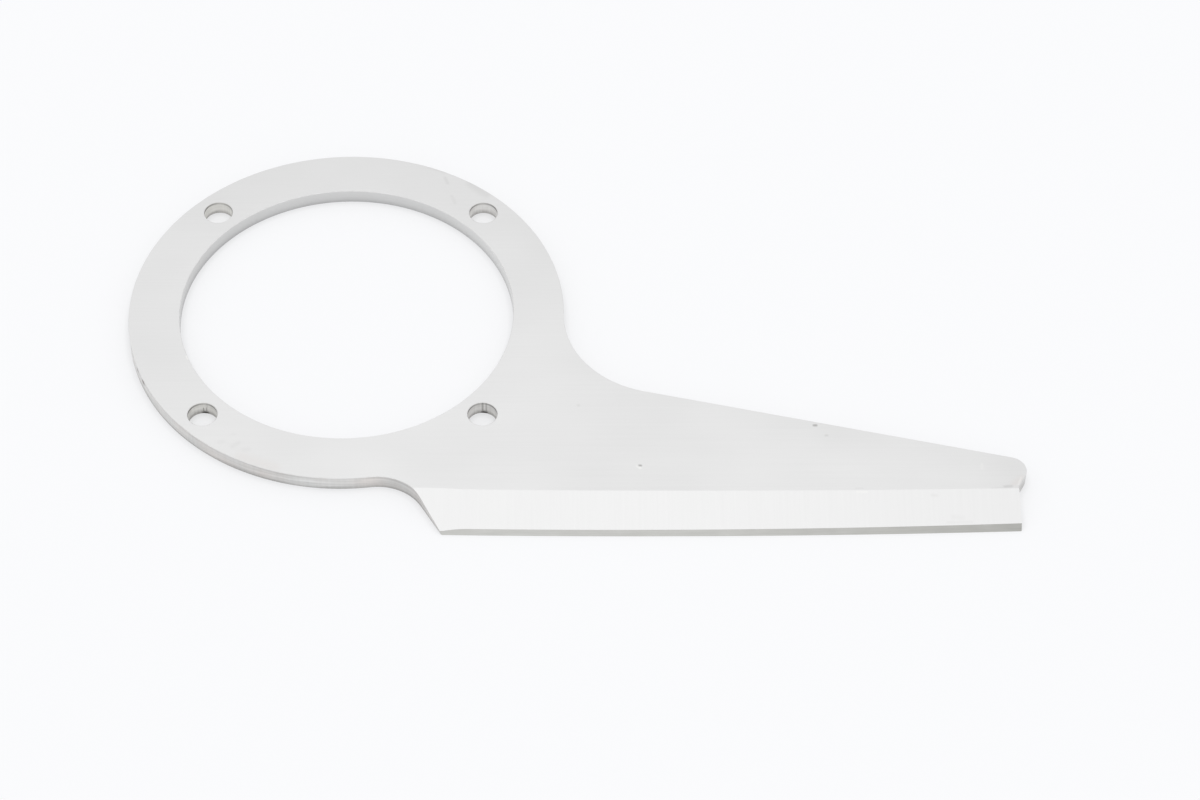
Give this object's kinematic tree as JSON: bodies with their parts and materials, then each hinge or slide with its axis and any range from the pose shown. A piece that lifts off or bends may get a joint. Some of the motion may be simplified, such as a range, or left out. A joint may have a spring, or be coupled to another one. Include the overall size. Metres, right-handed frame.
{
  "type": "bowl cutter knife",
  "caption": "Flat bowl cutter knife: a bored ring with bolt holes that seats on the knife head, and one long blade with a two-stage bevel, a hollow heel and a rounded nose.",
  "frame": {"origin": "on the bore's axis, in the plane of the flat underside", "axes": "+Z along the bore's axis, out of the bevelled top face; +X along the cutting edge towards the tip; the edge faces -Y"},
  "size_m": [0.2739, 0.1537, 0.005],
  "materials": {
    "knife_steel": "rolled and fine-brushed stainless steel plate, with a smoother ground bevel and cut side walls"
  },
  "bodies": {
    "root": {"cutter_knife": "knife_steel"}
  },
  "joints": []
}
